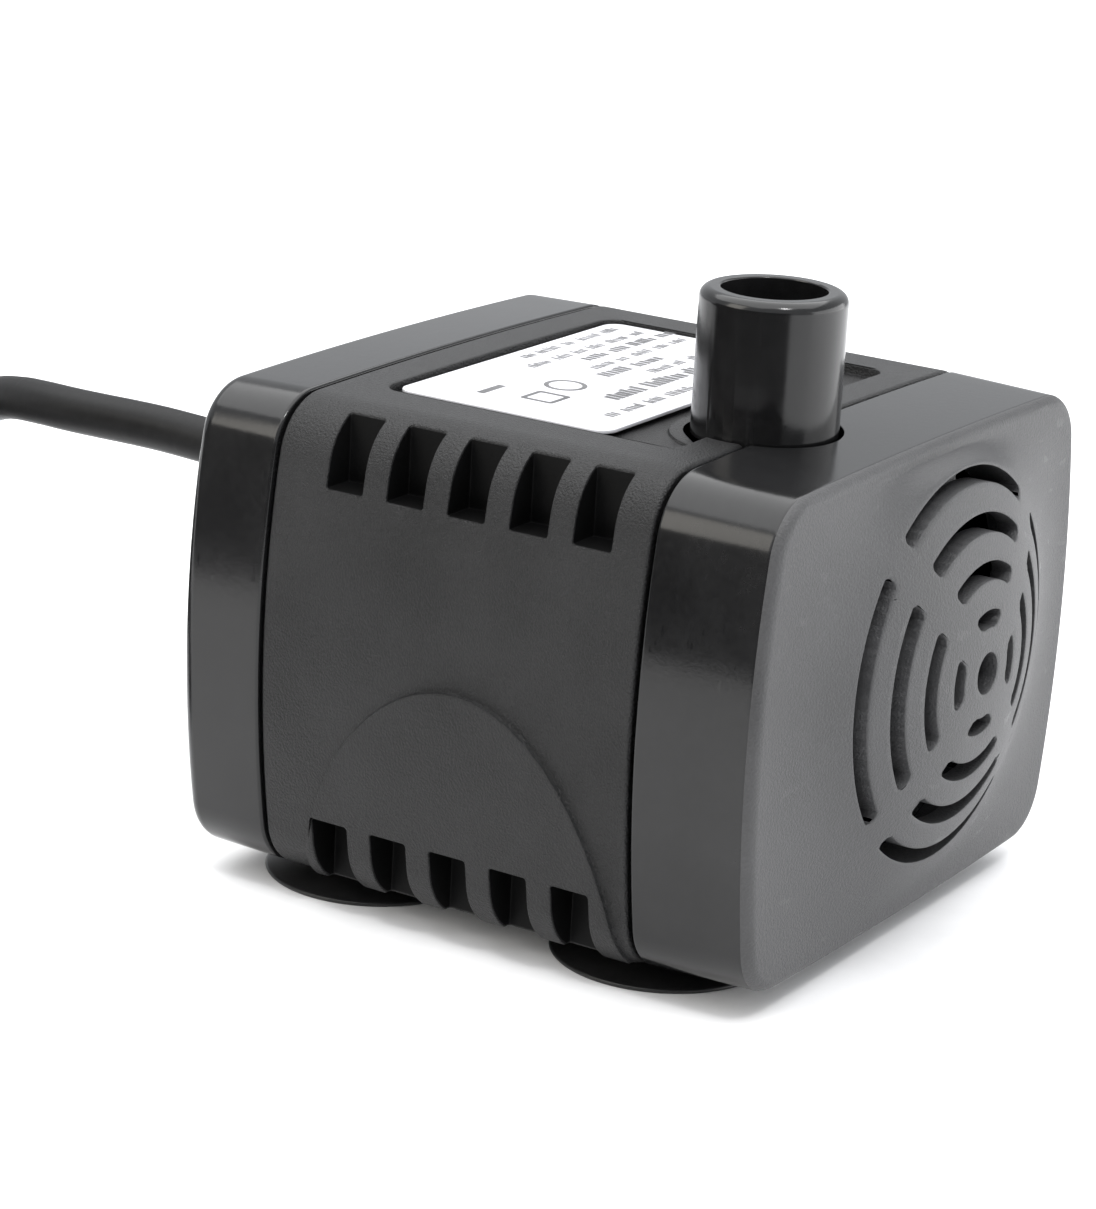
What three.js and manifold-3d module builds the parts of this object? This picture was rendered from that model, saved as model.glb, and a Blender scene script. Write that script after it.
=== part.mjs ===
// A small submersible pump with a domed intake grille, an upright outlet, a drive rotor inside
// a sealed well, suction feet and a thin low-voltage lead coiled beside it.
//
// Millimetres. +Z is up, the grille faces -Y and the lead leaves at +Y. While the pump is being
// described, y = 0 is the middle of the three casing parts and x = 0 is the pump's own mid plane.
// The finished group is moved along Y so that its origin is under the middle of the pump.

import * as THREE from 'three';
import { mergeVertices } from 'three/addons/utils/BufferGeometryUtils.js';
import Module from 'manifold-3d';

const wasm = await Module();
wasm.setup();

// ---- Driving dimensions ------------------------------------------------------------------

const GAP = 0.3; // clearance between pieces that touch

const body = {
  width: 46,
  depth: 44.7,
  height: 34,
  footGap: 1.4, // height of the casing's underside above the floor
  corner: 4.4, // radius of the four long edges
  sideCrown: 2, // how far each side bulges over its height
  topCrown: 0.4, // how far the top and underside bulge over their width
};
const FRONT_Y = -body.depth / 2;
const REAR_Y = body.depth / 2;
const MIDDLE_Z = body.footGap + body.height / 2;
const TOP_Z = body.footGap + body.height;

const frontCover = { depth: 8.8, wall: 1.8 };
const rearCover = { depth: 6.8, wall: 1.9 };
const FRONT_SEAM_Y = FRONT_Y + frontCover.depth;
const REAR_SEAM_Y = REAR_Y - rearCover.depth;

const casing = {
  wall: 3.4,
  partitionFront: -6.8, // front face of the wall between the pump chamber and the motor
  partitionBack: -5,
  pocketRadius: 12.9,
};

const grille = {
  z: body.footGap + 18.7,
  baseRadius: 14.7,
  curveRadius: 34,
  rise: 4.75, // the dome's crest stands this far ahead of the flat face
  thickness: 1.5,
  spoke: 2.8,
  hole: 1.45,
  rings: [[12.45, 13.5], [9.3, 10.55], [6.25, 7.45], [3.15, 4.3]], // inner and outer radius
};

const cornerSlot = { count: 5, first: 9.85, pitch: 4.77, width: 2.85, height: 5.5, depth: 3.5 };

const labelRecess = { halfWidth: 14.6, yFrom: -10.6, yTo: 12.3, floorZ: TOP_Z - 0.9, corner: 1.4 };
const label = { width: 27.9, length: 16.7, x: 0.35, y: 3.55, thickness: 0.25, corner: 1.3 };

// lip is the bevel round the outlet's outer rim.
const outlet = { x: -5.7, y: -12.15, radius: 4.9, bore: 3.5, topZ: TOP_Z + 9.2, lip: 0.6 };

const head = {
  front: -18.2,
  back: casing.partitionFront - GAP,
  radius: 12.3,
  chamberRadius: 9.2,
  frontWall: 1.3,
  bossRadius: 3.1,
  inletRadius: 5.4,
};
const seal = { radius: 10.9, section: 0.4, y: -7.65 };

const shaft = { radius: 1, from: -18, to: 12.6 };
const washer = { radius: 2.4, thickness: 0.6, frontY: -16.1, rearY: 9.9 };
const BORE = shaft.radius + GAP;
const frontBush = { from: head.front, to: -16.4, radius: 2 };
const impeller = {
  front: -15.2,
  back: -8.2,
  hub: 2.6,
  plate: 1,
  bladeFront: -14.6,
  bladeRadius: 7.7,
  blades: 6,
  bladeThickness: 0.9,
  bladeCurve: 8, // radius of each blade's outer side, seen from the front
};
const magnet = { from: impeller.back + GAP, to: 9.6, radius: 5.6 };
const well = { bore: 6.4, radius: 7.6, step: 10.6, end: 13.2, back: 14.6 };
const rearBush = { from: 10.8, to: 12.9, radius: 3 };

const stator = {
  from: 0.5,
  to: 10.5,
  halfWidth: 17.4,
  halfHeight: 12.6,
  windowHalfWidth: 14,
  windowHalfHeight: 9.6,
  poleHalfHeight: 3,
};
const bobbin = { inner: 8.3, outer: 13.7, flange: 0.7, wall: 0.7, reach: 5 };

const board = { width: 30, height: 22, from: 16, to: 17 };
// Parts on the board: width, height and thickness, and the middle's place in X and above MIDDLE_Z.
const driverChip = { width: 5, height: 4, thickness: 1.5, x: -8.5, above: -3 };
const capacitor = { width: 3.5, height: 2.8, thickness: 1.9, x: 9, above: -4 };
const sensor = { width: 4, height: 3 };
const leadRadius = 0.45;

const cup = {
  x: 12.3,
  yFront: -10.7,
  yRear: 12.9,
  radius: 7.6,
  rim: 0.8, // width of the flat band that rests on the floor
  edge: 0.35, // height of the disc's outer edge
  hollow: 0.45, // how far the middle of the underside stands off the floor
  stem: 1.6,
  stemTop: 3.7,
};

const cord = { diameter: 3.4, z: 23.8 };
const CORD_RADIUS = cord.diameter / 2;
const gland = { neck: 2.5, collar: 3.6, collarDepth: 1.4, flange: 0.8, tip: 2.25, to: 33 };

const coil = { x: -8.9, y: 100, meanRadius: 19.6, columns: 4, rows: 3, pitch: 3.55 };
const OUTER_TURN = coil.meanRadius + ((coil.columns - 1) / 2) * coil.pitch;
// Two bands hold the coil together and lift it off the floor by their thickness.
const tie = { width: 5, thickness: 0.8, sideGap: 0.6 };
const plug = { x: coil.x - OUTER_TURN, back: 78, grip: 21, gripWidth: 15.4, gripHeight: 7.6 };
const plugShell = { width: 12, height: 4.5, length: 11.8, wall: 0.4 };
const tongue = { inset: 1, length: 9.5, below: 0.2, above: 1.5 };

// ---- Solids ------------------------------------------------------------------------------

function arc(centreX, centreZ, radius, fromAngle, toAngle, steps) {
  const points = [];
  for (let i = 0; i <= steps; i++) {
    const angle = fromAngle + ((toAngle - fromAngle) * i) / steps;
    const x = centreX + radius * Math.cos(angle);
    const z = centreZ + radius * Math.sin(angle);
    points.push(new THREE.Vector2(x, z));
  }
  return points;
}

// A closed outline from one quarter of it, which runs from the +X axis to the +Z axis.
function mirrorQuarter(quarter) {
  const flip = (sx, sz) => quarter.map((p) => new THREE.Vector2(sx * p.x, sz * p.y));
  const upperLeft = flip(-1, 1).reverse().slice(1);
  const lowerLeft = flip(-1, -1).slice(1);
  const lowerRight = flip(1, -1).reverse().slice(1, -1);
  return [...quarter, ...upperLeft, ...lowerLeft, ...lowerRight];
}

function roundedRectangle(width, height, radius, steps = 4) {
  const corner = arc(width / 2 - radius, height / 2 - radius, radius, 0, Math.PI / 2, steps);
  return mirrorQuarter([new THREE.Vector2(width / 2, 0), ...corner, new THREE.Vector2(0, height / 2)]);
}

// The pump's outer section: four bulging sides joined by round corners, set in by some distance.
function crownedOutline(inset = 0) {
  const halfWidth = body.width / 2;
  const halfHeight = body.height / 2;
  const sideRadius = (halfHeight ** 2 + body.sideCrown ** 2) / (2 * body.sideCrown);
  const topRadius = (halfWidth ** 2 + body.topCrown ** 2) / (2 * body.topCrown);
  const sideCentreX = halfWidth - sideRadius;
  const topCentreZ = halfHeight - topRadius;

  // The corner's centre lies inside both bulges by the corner's radius.
  const fromSide = sideRadius - body.corner;
  const fromTop = topRadius - body.corner;
  const between = Math.hypot(sideCentreX, topCentreZ);
  const along = (between ** 2 + fromSide ** 2 - fromTop ** 2) / (2 * between);
  const across = Math.sqrt(fromSide ** 2 - along ** 2);
  const towardsX = -sideCentreX / between;
  const towardsZ = topCentreZ / between;
  const cornerX = sideCentreX + along * towardsX - across * towardsZ;
  const cornerZ = along * towardsZ + across * towardsX;

  const sideEnd = Math.atan2(cornerZ, cornerX - sideCentreX);
  const topStart = Math.atan2(cornerZ - topCentreZ, cornerX);
  const quarter = [
    ...arc(sideCentreX, 0, sideRadius - inset, 0, sideEnd, 3),
    ...arc(cornerX, cornerZ, body.corner - inset, sideEnd, topStart, 5).slice(1),
    ...arc(0, topCentreZ, topRadius - inset, topStart, Math.PI / 2, 2).slice(1),
  ];
  return mirrorQuarter(quarter);
}

function solid(geometry) {
  geometry.deleteAttribute('normal');
  geometry.deleteAttribute('uv');
  const merged = mergeVertices(geometry);
  const triangles = [];
  const index = merged.index.array;
  for (let i = 0; i < index.length; i += 3) {
    const [a, b, c] = index.slice(i, i + 3);
    if (a !== b && b !== c && c !== a) triangles.push(a, b, c);
  }
  const mesh = new wasm.Mesh({
    numProp: 3,
    vertProperties: new Float32Array(merged.attributes.position.array),
    triVerts: new Uint32Array(triangles),
  });
  return new wasm.Manifold(mesh);
}

function geometryOf(manifold) {
  const mesh = manifold.getMesh();
  const geometry = new THREE.BufferGeometry();
  geometry.setAttribute('position', new THREE.BufferAttribute(mesh.vertProperties, 3));
  geometry.setIndex(new THREE.BufferAttribute(mesh.triVerts, 1));
  return geometry;
}

// An outline in X and Z, drawn out along Y.
function prism(outline, yFrom, yTo, x = 0, z = 0) {
  const shape = new THREE.Shape(outline);
  const geometry = new THREE.ExtrudeGeometry(shape, { depth: yTo - yFrom, bevelEnabled: false });
  geometry.rotateX(Math.PI / 2);
  geometry.translate(x, yTo, z);
  return solid(geometry);
}

// An outline in X and Y, drawn out along Z.
function plate(outline, zFrom, zTo, x = 0, y = 0) {
  const shape = new THREE.Shape(outline);
  const geometry = new THREE.ExtrudeGeometry(shape, { depth: zTo - zFrom, bevelEnabled: false });
  geometry.translate(x, y, zFrom);
  return solid(geometry);
}

function box(xFrom, xTo, yFrom, yTo, zFrom, zTo) {
  const geometry = new THREE.BoxGeometry(xTo - xFrom, yTo - yFrom, zTo - zFrom);
  geometry.translate((xFrom + xTo) / 2, (yFrom + yTo) / 2, (zFrom + zTo) / 2);
  return solid(geometry);
}

// A profile of [radius, y] points, counter-clockwise, turned about a line along Y.
function turnedAboutY(profile, segments = 32, x = 0, z = MIDDLE_Z) {
  const points = profile.map(([radius, y]) => new THREE.Vector2(radius, y));
  const geometry = new THREE.LatheGeometry(points, segments);
  geometry.translate(x, 0, z);
  return solid(geometry);
}

// The same for a profile of [radius, z] points, turned about a line along Z.
function turnedAboutZ(profile, x, y, segments = 32) {
  const points = profile.map(([radius, z]) => new THREE.Vector2(radius, z));
  const geometry = new THREE.LatheGeometry(points, segments);
  geometry.rotateX(Math.PI / 2);
  geometry.translate(x, y, 0);
  return solid(geometry);
}

function cylinderY(radius, yFrom, yTo, segments = 32, x = 0, z = MIDDLE_Z) {
  return turnedAboutY([[0, yFrom], [radius, yFrom], [radius, yTo], [0, yTo]], segments, x, z);
}

function cylinderZ(radius, zFrom, zTo, x, y, segments = 32) {
  return turnedAboutZ([[0, zFrom], [radius, zFrom], [radius, zTo], [0, zTo]], x, y, segments);
}

function tubeY(bore, radius, yFrom, yTo, segments = 32, x = 0, z = MIDDLE_Z) {
  const profile = [[bore, yFrom], [radius, yFrom], [radius, yTo], [bore, yTo], [bore, yFrom]];
  return turnedAboutY(profile, segments, x, z);
}

// A round wire or cord through some points.
function wire(points, radius, steps, sides = 8) {
  const section = new THREE.Shape(arc(0, 0, radius, 0, 2 * Math.PI, sides).slice(0, -1));
  const path = new THREE.CatmullRomCurve3(points.map(([x, y, z]) => new THREE.Vector3(x, y, z)));
  return solid(new THREE.ExtrudeGeometry(section, { steps, bevelEnabled: false, extrudePath: path }));
}

function union(solids) {
  return solids.reduce((whole, next) => whole.add(next));
}

// ---- The casing's three parts --------------------------------------------------------------

// Notches across the four long edges, open to the outside and closed behind.
function cornerSlots() {
  const slots = [];
  for (let i = 0; i < cornerSlot.count; i++) {
    const yFrom = cornerSlot.first - i * cornerSlot.pitch - cornerSlot.width / 2;
    const yTo = yFrom + cornerSlot.width;
    const inner = body.width / 2 - cornerSlot.depth;
    const outer = body.width / 2 + 1;
    for (const side of [-1, 1]) {
      const xFrom = Math.min(side * inner, side * outer);
      const xTo = Math.max(side * inner, side * outer);
      slots.push(box(xFrom, xTo, yFrom, yTo, TOP_Z - cornerSlot.height, TOP_Z + 1));
      slots.push(box(xFrom, xTo, yFrom, yTo, 0, body.footGap + cornerSlot.height));
    }
  }
  return union(slots);
}

function outletNotch() {
  return cylinderZ(outlet.radius + GAP, MIDDLE_Z, TOP_Z + 1, outlet.x, outlet.y);
}

function footSockets() {
  const top = cup.stemTop + GAP;
  const sockets = footPlaces().map(({ x, y }) => cylinderZ(cup.stem + GAP, 0, top, x, y, 16));
  return union(sockets);
}

function motorCasing() {
  const front = FRONT_SEAM_Y + GAP / 2;
  const back = REAR_SEAM_Y - GAP / 2;
  const shell = prism(crownedOutline(), front, back, 0, MIDDLE_Z);
  const motorSpace = prism(crownedOutline(casing.wall), casing.partitionBack, back + 1, 0, MIDDLE_Z);
  const wellTube = cylinderY(well.radius, casing.partitionBack - 1, well.back);
  const wellBore = cylinderY(well.bore, casing.partitionFront - 1, well.step);
  const bushPocket = cylinderY(rearBush.radius + GAP, well.step - 1, well.end);
  const pocket = cylinderY(casing.pocketRadius, front - 1, casing.partitionFront, 48);
  const recessWidth = 2 * labelRecess.halfWidth;
  const recessLength = labelRecess.yTo - labelRecess.yFrom;
  const recessOutline = roundedRectangle(recessWidth, recessLength, labelRecess.corner);
  const recessY = (labelRecess.yFrom + labelRecess.yTo) / 2;
  const recess = plate(recessOutline, labelRecess.floorZ, TOP_Z + 1, 0, recessY);
  return shell
    .subtract(motorSpace)
    .add(wellTube)
    .subtract(union([wellBore, bushPocket, pocket, outletNotch(), recess]))
    .subtract(cornerSlots())
    .subtract(footSockets());
}

function rearCoverShell() {
  const front = REAR_SEAM_Y + GAP / 2;
  const insideBack = REAR_Y - rearCover.wall;
  const shell = prism(crownedOutline(), front, REAR_Y, 0, MIDDLE_Z);
  const inside = prism(crownedOutline(casing.wall), front - 1, insideBack, 0, MIDDLE_Z);
  const cordHole = cylinderY(gland.neck + GAP, insideBack - 1, REAR_Y + 1, 24, 0, cord.z);
  return shell.subtract(inside).subtract(cordHole);
}

// A part of a sphere, thick enough to stand as a grille, with its rim let into the front face.
function grilleDome() {
  const crest = FRONT_Y - grille.rise;
  const steps = 4;
  const sphereY = (radius, sphere) => crest + grille.curveRadius - Math.sqrt(sphere ** 2 - radius ** 2);
  const outer = [];
  const inner = [];
  for (let i = 0; i <= steps; i++) {
    const radius = (grille.baseRadius * i) / steps;
    const innerRadius = ((grille.baseRadius - grille.thickness) * i) / steps;
    outer.push([radius, sphereY(radius, grille.curveRadius)]);
    inner.push([innerRadius, sphereY(innerRadius, grille.curveRadius - grille.thickness)]);
  }
  const rimY = FRONT_Y + frontCover.wall;
  const rim = [[grille.baseRadius, rimY], [grille.baseRadius - grille.thickness, rimY]];
  return turnedAboutY([...outer, ...rim, ...inner.reverse()], 40, 0, grille.z);
}

// Four rings of slots, crossed by diagonal spokes, and a hole in the middle.
function grilleSlots() {
  const from = FRONT_Y - grille.rise - 1;
  const to = FRONT_Y + frontCover.wall + 1;
  const rings = union(grille.rings.map(([inner, outer]) => tubeY(inner, outer, from, to, 40, 0, grille.z)));
  const half = grille.spoke / 2;
  const reach = grille.baseRadius;
  const bar = box(-reach, reach, from - 1, to + 1, -half, half);
  const spokes = bar.rotate([0, 45, 0]).add(bar.rotate([0, -45, 0])).translate([0, 0, grille.z]);
  return rings.subtract(spokes).add(cylinderY(grille.hole, from, to, 16, 0, grille.z));
}

function frontCoverShell() {
  const back = FRONT_SEAM_Y - GAP / 2;
  const insideFront = FRONT_Y + frontCover.wall;
  const shell = prism(crownedOutline(), FRONT_Y, back, 0, MIDDLE_Z);
  const inside = prism(crownedOutline(frontCover.wall), insideFront, back + 1, 0, MIDDLE_Z);
  const innerRadius = grille.baseRadius - grille.thickness;
  const doorway = cylinderY(innerRadius, FRONT_Y - 1, insideFront + 1, 40, 0, grille.z);
  return shell
    .subtract(inside)
    .subtract(doorway)
    .add(grilleDome())
    .subtract(grilleSlots())
    .subtract(outletNotch());
}

function ratingLabel() {
  const bottom = labelRecess.floorZ + GAP;
  const outline = roundedRectangle(label.width, label.length, label.corner);
  return plate(outline, bottom, bottom + label.thickness, label.x, label.y);
}

// ---- The pump chamber ----------------------------------------------------------------------

function pumpHead() {
  const chamberFront = head.front + head.frontWall;
  const shellOutside = cylinderY(head.radius, head.front, head.back, 48);
  const tubeProfile = [
    [0, MIDDLE_Z],
    [outlet.radius, MIDDLE_Z],
    [outlet.radius, outlet.topZ - outlet.lip],
    [outlet.radius - outlet.lip, outlet.topZ],
    [0, outlet.topZ],
  ];
  const tube = turnedAboutZ(tubeProfile, outlet.x, outlet.y);
  const chamber = cylinderY(head.chamberRadius, chamberFront, head.back + 1, 40);
  const bore = cylinderZ(outlet.bore, MIDDLE_Z, outlet.topZ + 1, outlet.x, outlet.y);
  const groove = tubeY(
    seal.radius - seal.section - GAP,
    seal.radius + seal.section + GAP,
    seal.y - seal.section - GAP,
    head.back + 1,
    40,
  );
  const boss = cylinderY(head.bossRadius, head.front, frontBush.to);
  const inletDepth = [head.front - 1, chamberFront + 1];
  const inletRing = tubeY(head.bossRadius, head.inletRadius, ...inletDepth);
  const arms = union([0, 120, 240].map((angle) => inletArm(angle, inletDepth)));
  return shellOutside
    .add(tube)
    .subtract(union([chamber, bore, groove]))
    .subtract(inletRing.subtract(arms))
    .add(boss)
    .subtract(cylinderY(frontBush.radius + GAP, head.front - 1, frontBush.to + 1, 24));
}

// One of the three arms that carry the front bearing across the inlet.
function inletArm(angle, [yFrom, yTo]) {
  const halfWidth = 0.6;
  const arm = box(0, head.inletRadius + 1, yFrom - 1, yTo + 1, -halfWidth, halfWidth);
  return arm.rotate([0, angle, 0]).translate([0, 0, MIDDLE_Z]);
}

function chamberSeal() {
  const profile = arc(seal.radius, seal.y, seal.section, 0, 2 * Math.PI, 6).map((p) => [p.x, p.y]);
  profile[profile.length - 1] = profile[0];
  return turnedAboutY(profile, 32);
}

// ---- The rotor -----------------------------------------------------------------------------

// Blades that curve back from the hub to the plate's edge.
function impellerSolid() {
  const curveX = impeller.hub + impeller.bladeRadius / 2;
  const curveZ = 3 - impeller.bladeCurve;
  const innerCurve = impeller.bladeCurve - impeller.bladeThickness;
  const rootAngle = 0.62 * Math.PI;
  const tipAngle = 0.3 * Math.PI;
  const outline = [
    ...arc(curveX, curveZ, impeller.bladeCurve, rootAngle, tipAngle, 5),
    ...arc(curveX, curveZ, innerCurve, tipAngle, rootAngle, 5),
  ].reverse();
  const bladeBack = impeller.back - impeller.plate / 2;
  const reach = cylinderY(impeller.bladeRadius, impeller.bladeFront - 1, impeller.back + 1, 32, 0, 0);
  const blade = prism(outline, impeller.bladeFront, bladeBack).intersect(reach);
  const turn = 360 / impeller.blades;
  const blades = Array.from({ length: impeller.blades }, (_, i) => blade.rotate([0, turn * i, 0]));
  const hub = cylinderY(impeller.hub, impeller.front, impeller.back, 24, 0, 0);
  const plateFront = impeller.back - impeller.plate;
  const backPlate = cylinderY(impeller.bladeRadius, plateFront, impeller.back, 32, 0, 0);
  const bore = cylinderY(BORE, impeller.front - 1, impeller.back + 1, 16, 0, 0);
  return union([hub, backPlate, ...blades]).subtract(bore).translate([0, 0, MIDDLE_Z]);
}

function thrustWasher(y) {
  return tubeY(BORE, washer.radius, y, y + washer.thickness, 20);
}

// ---- The motor -----------------------------------------------------------------------------

function statorCore() {
  const frame = prism(
    roundedRectangle(2 * stator.halfWidth, 2 * stator.halfHeight, 0.9, 2),
    stator.from,
    stator.to,
    0,
    MIDDLE_Z,
  );
  const window = prism(
    roundedRectangle(2 * stator.windowHalfWidth, 2 * stator.windowHalfHeight, 0.8, 2),
    stator.from - 1,
    stator.to + 1,
    0,
    MIDDLE_Z,
  );
  const poleTop = MIDDLE_Z + stator.poleHalfHeight;
  const poleBottom = MIDDLE_Z - stator.poleHalfHeight;
  const reach = stator.windowHalfWidth + 1;
  const poles = box(-reach, reach, stator.from, stator.to, poleBottom, poleTop);
  const rotorSpace = cylinderY(well.radius + GAP, stator.from - 1, stator.to + 1, 40);
  return frame.subtract(window).add(poles.subtract(rotorSpace));
}

// A ring with a rounded rectangular outline around one pole, between two places along X.
function poleRing(side, near, far, outside, inside) {
  const length = stator.to - stator.from;
  const height = 2 * stator.poleHalfHeight;
  const middleY = (stator.from + stator.to) / 2;
  const outline = (grow) => roundedRectangle(length + 2 * grow, height + 2 * grow, 0.9, 2);
  const block = (grow, from, to) => plate(outline(grow), from, to);
  const ring = block(outside, near, far).subtract(block(inside, near - 1, far + 1));
  return ring
    .rotate([0, 90, 0])
    .rotate([90, 0, 0])
    .scale([side, 1, 1])
    .translate([0, middleY, MIDDLE_Z]);
}

function coilBobbin(side) {
  const tube = GAP + bobbin.wall;
  return union([
    poleRing(side, bobbin.inner, bobbin.outer, tube, GAP),
    poleRing(side, bobbin.inner, bobbin.inner + bobbin.flange, bobbin.reach, GAP),
    poleRing(side, bobbin.outer - bobbin.flange, bobbin.outer, bobbin.reach, GAP),
  ]);
}

function coilWinding(side) {
  const near = bobbin.inner + bobbin.flange + GAP;
  const far = bobbin.outer - bobbin.flange - GAP;
  const inside = 2 * GAP + bobbin.wall;
  return poleRing(side, near, far, bobbin.reach - GAP, inside);
}

function driverBoard() {
  const outline = roundedRectangle(board.width, board.height, 1.5);
  return prism(outline, board.from, board.to, 0, MIDDLE_Z);
}

// A small block on the rear face of the board.
function boardPart({ width, height, thickness, x, above }) {
  const from = board.to + GAP;
  const bottom = MIDDLE_Z + above - height / 2;
  return box(x - width / 2, x + width / 2, from, from + thickness, bottom, bottom + height);
}

// Between the end of the rotor's well and the board, where it feels the magnet turn.
function hallSensor() {
  const bottom = MIDDLE_Z - sensor.height / 2;
  const half = sensor.width / 2;
  return box(-half, half, well.back + GAP, board.from - GAP, bottom, bottom + sensor.height);
}

// An insulated wire from the gland's inner end to its pad on the board.
function motorLead(side) {
  const start = glandInsideY() - GAP;
  const end = board.to + GAP;
  const padX = 3.2 * side;
  const padZ = MIDDLE_Z - 1.5;
  return wire(
    [
      [0.8 * side, start, cord.z],
      [0.9 * side, start - 0.7, cord.z - 0.4],
      [2 * side, end + 0.7, cord.z - 3],
      [padX, end + 0.8, padZ + 0.7],
      [padX, end, padZ],
    ],
    leadRadius,
    12,
    6,
  );
}

// ---- Feet ----------------------------------------------------------------------------------

function footPlaces() {
  const places = [];
  for (const [end, y] of [['front', cup.yFront], ['rear', cup.yRear]]) {
    places.push({ name: `suction_cup_${end}_left`, x: -cup.x, y });
    places.push({ name: `suction_cup_${end}_right`, x: cup.x, y });
  }
  return places;
}

// A thin rubber cup with a flat rim, hollow underneath, on a short stem.
function suctionCup({ x, y }) {
  const discTop = body.footGap - GAP;
  const profile = [
    [0, cup.hollow],
    [cup.radius / 2, 0.7 * cup.hollow],
    [cup.radius - cup.rim, 0],
    [cup.radius, 0],
    [cup.radius - 0.15, cup.edge],
    [cup.radius / 2, discTop - 0.15],
    [cup.stem + 0.6, discTop],
    [cup.stem, discTop],
    [cup.stem, cup.stemTop],
    [0, cup.stemTop],
  ];
  return turnedAboutZ(profile, x, y, 24);
}

// ---- The lead ------------------------------------------------------------------------------

function glandInsideY() {
  return REAR_Y - rearCover.wall - GAP - gland.flange;
}

// A rubber bush through the rear wall that narrows towards the cord.
function cordGland() {
  const inside = glandInsideY();
  const collarFrom = REAR_Y + GAP;
  const collarTo = collarFrom + gland.collarDepth;
  const profile = [
    [0, inside],
    [gland.collar, inside],
    [gland.collar, inside + gland.flange],
    [gland.neck, inside + gland.flange],
    [gland.neck, collarFrom],
    [gland.collar, collarFrom],
    [gland.collar, collarTo],
    [gland.collar - 0.4, collarTo + 0.5],
    [gland.tip, gland.to],
    [0, gland.to],
  ];
  return turnedAboutY(profile, 20, 0, cord.z);
}

// From the gland over and down to the floor, where it meets the coil's outermost turn.
function cordRun() {
  const route = [
    [0, gland.to + GAP, cord.z],
    [0, 36, 23.95],
    [0, 39, 24.1],
    [0, 42, 24.2],
    [0, 45, 24.2],
    [0, 48, 24.15],
    [0.1, 51, 24.1],
    [0.5, 54, 24],
    [1.2, 57, 23.7],
    [2.3, 60, 22.9],
    [3.7, 63, 21.3],
    [5.4, 66, 18.9],
    [7.2, 69, 15.9],
    [9, 72, 12.7],
    [10.8, 75, 9.7],
    [12.4, 78, 7.1],
    [13.7, 81, 5.1],
    [14.4, 83.4, 4.1],
  ];
  return wire(route, CORD_RADIUS, 14);
}

function coilOutside() {
  const half = ((coil.columns - 1) / 2) * coil.pitch + CORD_RADIUS;
  const bottom = tie.thickness + GAP;
  return {
    radius: coil.meanRadius + half,
    bore: coil.meanRadius - half,
    bottom,
    top: bottom + (coil.rows - 1) * coil.pitch + cord.diameter + 0.1,
  };
}

function coiledCord() {
  const { radius, bore, bottom, top } = coilOutside();
  const bevel = 1;
  const profile = [
    [bore, bottom],
    [radius, bottom],
    [radius, top - bevel],
    [radius - bevel, top],
    [bore + bevel, top],
    [bore, top - bevel],
    [bore, bottom],
  ];
  return turnedAboutZ(profile, coil.x, coil.y, 32);
}

// A band round the coil's section, on its -Y side or its +Y side.
function coilTie(side) {
  const { radius, bore, bottom, top } = coilOutside();
  const middleZ = (bottom + top) / 2;
  const insideWidth = radius - bore + 2 * tie.sideGap;
  const insideHeight = top - bottom + 2 * GAP;
  const grow = 2 * tie.thickness;
  const outside = roundedRectangle(insideWidth + grow, insideHeight + grow, 1.6, 3);
  const inside = roundedRectangle(insideWidth, insideHeight, 0.8, 3);
  const half = tie.width / 2;
  return prism(outside, -half, half)
    .subtract(prism(inside, -half - 1, half + 1))
    .rotate([0, 0, 90])
    .translate([coil.x, coil.y + side * coil.meanRadius, middleZ]);
}

// From the coil's last half turn to the plug.
function cordTail() {
  const clear = coilOutside().radius + GAP + CORD_RADIUS;
  const leaveY = coil.y - Math.sqrt(clear ** 2 - OUTER_TURN ** 2);
  const plugZ = plug.gripHeight / 2;
  return wire([[plug.x, leaveY, plugZ + 0.3], [plug.x, plug.back + GAP, plugZ]], CORD_RADIUS, 2);
}

function plugGrip() {
  const outline = roundedRectangle(plug.gripWidth, plug.gripHeight, 1.8);
  return prism(outline, plug.back - plug.grip, plug.back, plug.x, plug.gripHeight / 2);
}

function plugShellTube() {
  const back = plug.back - plug.grip - GAP;
  const front = back - plugShell.length;
  const z = plug.gripHeight / 2;
  const inset = 2 * plugShell.wall;
  const outside = roundedRectangle(plugShell.width, plugShell.height, 0.5, 2);
  const inside = roundedRectangle(plugShell.width - inset, plugShell.height - inset, 0.3, 2);
  return prism(outside, front, back, plug.x, z).subtract(prism(inside, front - 1, back - 1, plug.x, z));
}

function plugTongue() {
  const back = plug.back - plug.grip - GAP - tongue.inset;
  const z = plug.gripHeight / 2;
  const half = plugShell.width / 2 - plugShell.wall - GAP;
  return box(plug.x - half, plug.x + half, back - tongue.length, back, z - tongue.below, z + tongue.above);
}

// ---- Materials -----------------------------------------------------------------------------

function material(color, roughness, metalness = 0) {
  return new THREE.MeshStandardMaterial({ color, roughness, metalness });
}

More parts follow.
